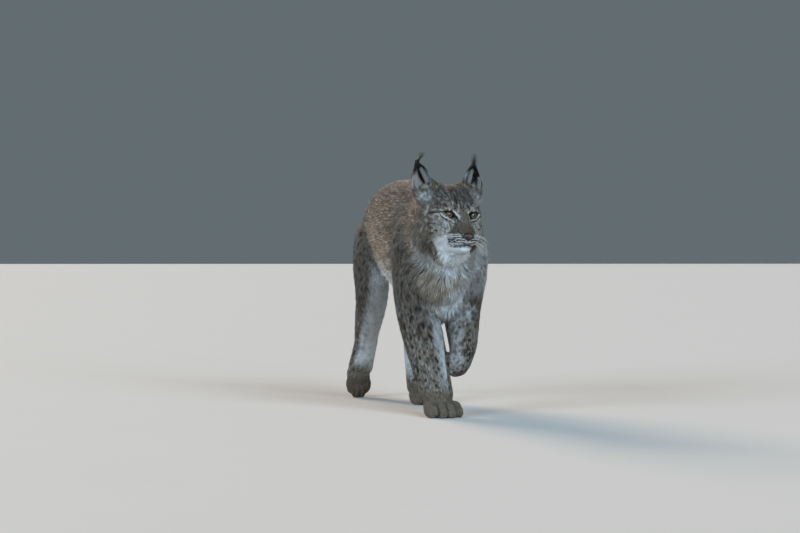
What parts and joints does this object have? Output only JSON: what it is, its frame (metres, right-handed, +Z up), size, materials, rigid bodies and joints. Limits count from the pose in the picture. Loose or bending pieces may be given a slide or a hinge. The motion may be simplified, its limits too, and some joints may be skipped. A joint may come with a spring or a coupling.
{
  "type": "eurasian lynx",
  "caption": "Life-size still model of a Eurasian lynx in mid walk, head turned to its left and left forepaw lifted, with tufted ears, a ruff and a short tail.",
  "frame": {"origin": "on the floor, under the middle of the bounding box", "axes": "+Z up, the animal faces -Y and its left side is +X"},
  "size_m": [0.2744, 1.0402, 0.6996],
  "materials": {
    "coat": "dense winter fur, grey-brown with dark spots and pale underparts",
    "eye": "clear cornea over an amber iris, opaque",
    "nose": "bare moist skin of the nose, lids, lips and paw pads"
  },
  "bodies": {
    "root": {"head": "coat", "neck": "coat", "torso": "coat", "tail": "coat", "ear_left": "coat", "ear_right": "coat", "eye_left": "eye", "eye_right": "eye", "foreleg_left": "coat", "foreleg_right": "coat", "hindleg_left": "coat", "hindleg_right": "coat", "forepaw_left": "coat", "forepaw_right": "coat", "hindpaw_left": "coat", "hindpaw_right": "coat"}
  },
  "joints": []
}
